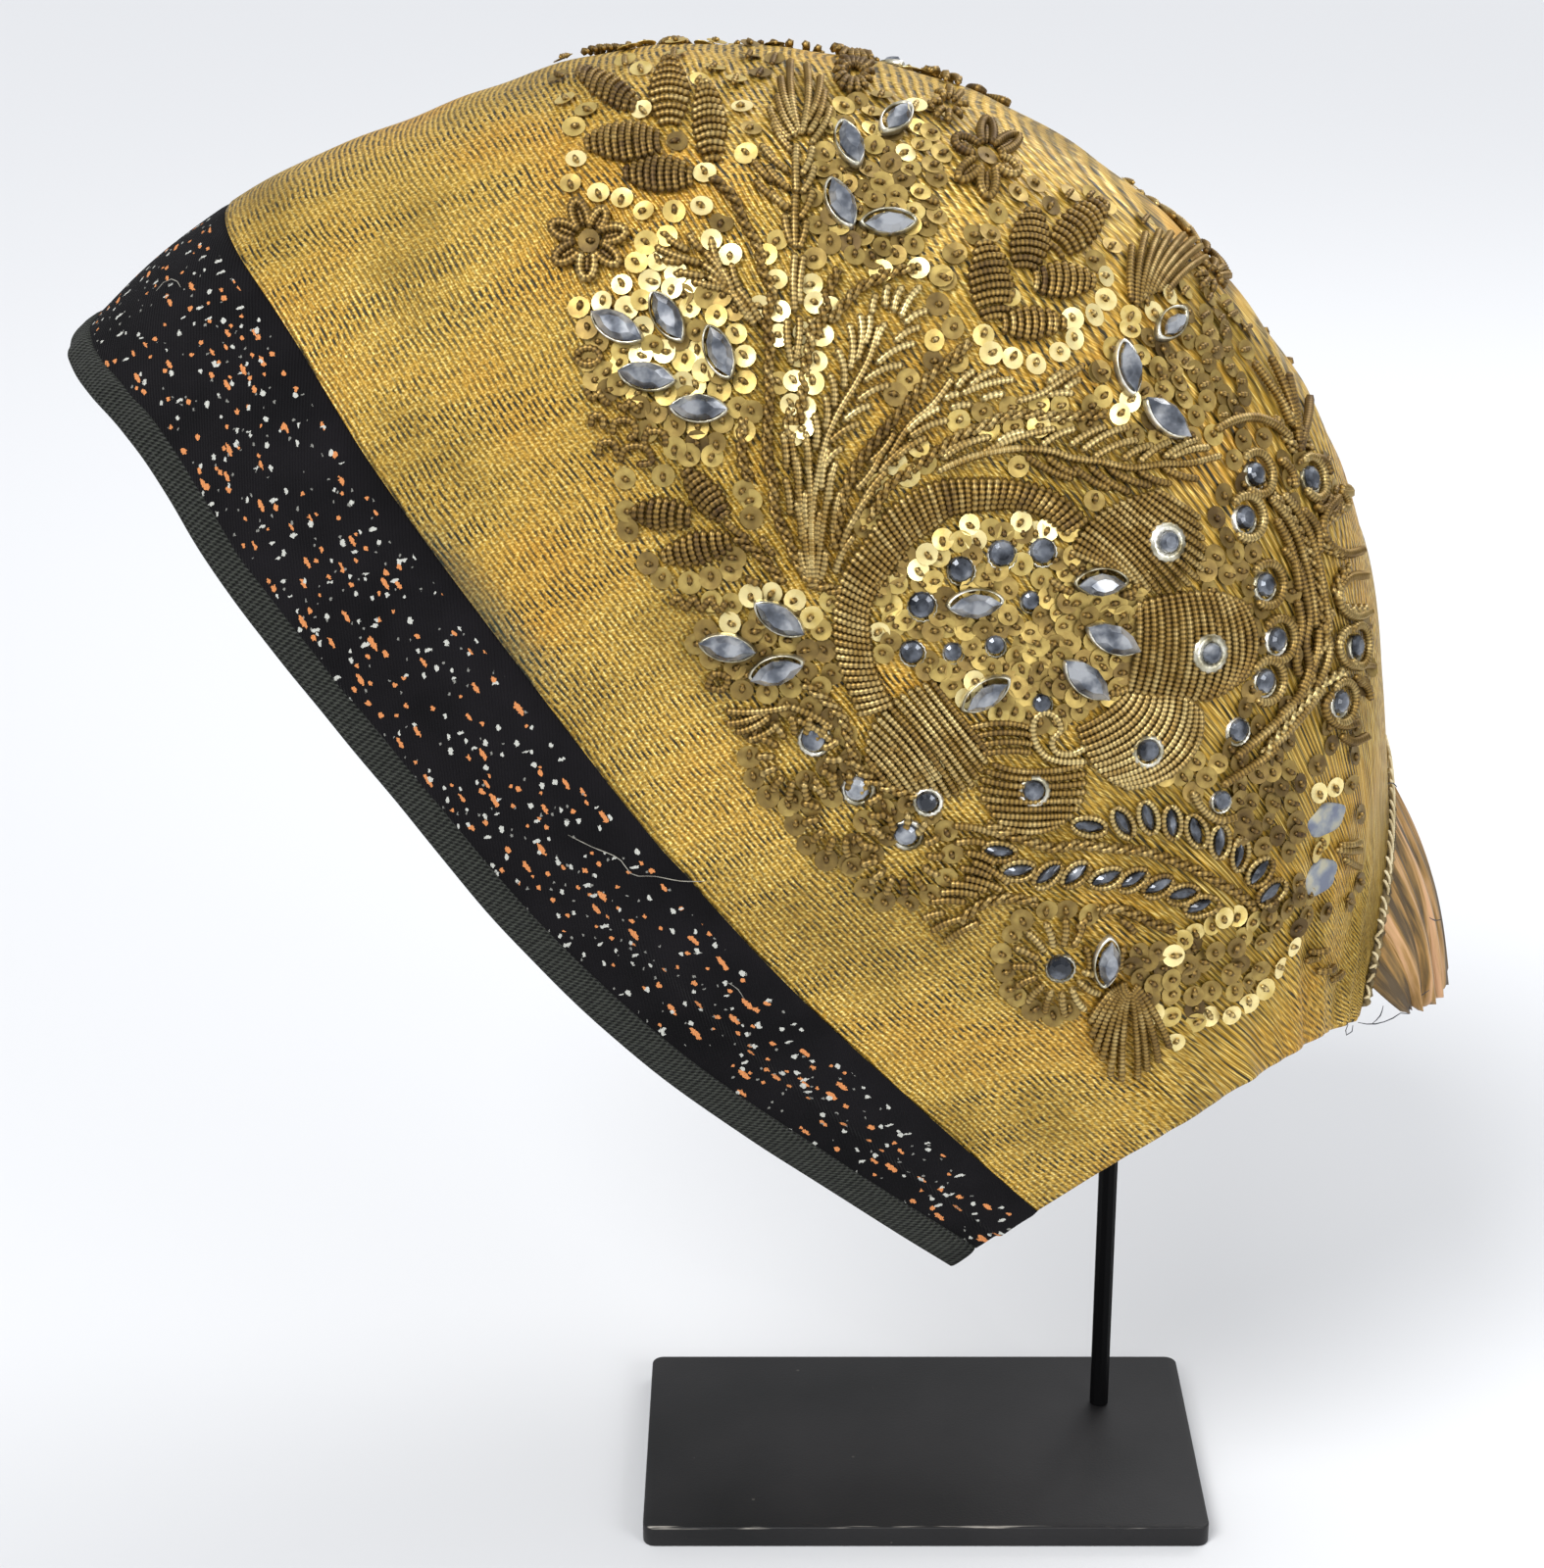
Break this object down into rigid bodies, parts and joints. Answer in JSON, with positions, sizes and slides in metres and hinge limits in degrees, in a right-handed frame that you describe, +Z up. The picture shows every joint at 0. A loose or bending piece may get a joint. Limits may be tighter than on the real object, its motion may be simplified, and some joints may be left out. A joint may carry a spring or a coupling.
{
  "type": "beaded coif on display stand",
  "caption": "Stiff gold cloth coif with a dark face band, raised metal embroidery and glass stones on both sides, held on a flat plate with one rod.",
  "frame": {"origin": "on the surface it stands on, under the middle of the whole object", "axes": "+Z up, -X the way the face opening looks, +Y across the coif from its near side to its far side"},
  "size_m": [0.2694, 0.1408, 0.2947],
  "materials": {
    "gold_brocade": "ribbed olive gold brocade with metal glints",
    "dark_print_twill": "matt black twill with small orange and white flecks",
    "charcoal_twill": "coarse charcoal twill tape, dry",
    "striped_silk": "faded peach silk with bronze stripes, pleated",
    "metal_embroidery": "tarnished gilt purl wire and sequins",
    "foiled_glass": "worn blue grey glass over silver foil",
    "black_paint": "satin black paint, scratched pale on the front edge"
  },
  "bodies": {
    "root": {"crown": "gold_brocade", "face_band": "dark_print_twill", "edge_binding": "charcoal_twill", "nape_gather": "striped_silk", "embroidery_near": "metal_embroidery", "embroidery_far": "metal_embroidery", "stand_base": "black_paint", "stand_post": "black_paint", "navette_near_1": "foiled_glass", "navette_near_2": "foiled_glass", "navette_near_3": "foiled_glass", "navette_near_4": "foiled_glass", "navette_near_5": "foiled_glass", "navette_near_6": "foiled_glass", "navette_near_7": "foiled_glass", "navette_near_8": "foiled_glass", "navette_near_9": "foiled_glass", "navette_near_10": "foiled_glass", "navette_near_11": "foiled_glass", "navette_near_12": "foiled_glass", "navette_near_13": "foiled_glass", "navette_near_14": "foiled_glass", "navette_near_15": "foiled_glass", "navette_near_16": "foiled_glass", "navette_near_17": "foiled_glass", "navette_near_18": "foiled_glass", "navette_near_19": "foiled_glass", "navette_near_20": "foiled_glass", "navette_near_21": "foiled_glass", "navette_far_1": "foiled_glass", "navette_far_2": "foiled_glass", "navette_far_3": "foiled_glass", "navette_far_4": "foiled_glass", "navette_far_5": "foiled_glass", "navette_far_6": "foiled_glass", "navette_far_7": "foiled_glass", "navette_far_8": "foiled_glass", "navette_far_9": "foiled_glass", "navette_far_10": "foiled_glass", "navette_far_11": "foiled_glass", "navette_far_12": "foiled_glass", "navette_far_13": "foiled_glass", "navette_far_14": "foiled_glass", "navette_far_15": "foiled_glass", "navette_far_16": "foiled_glass", "navette_far_17": "foiled_glass", "navette_far_18": "foiled_glass", "navette_far_19": "foiled_glass", "navette_far_20": "foiled_glass", "navette_far_21": "foiled_glass"}
  },
  "joints": []
}
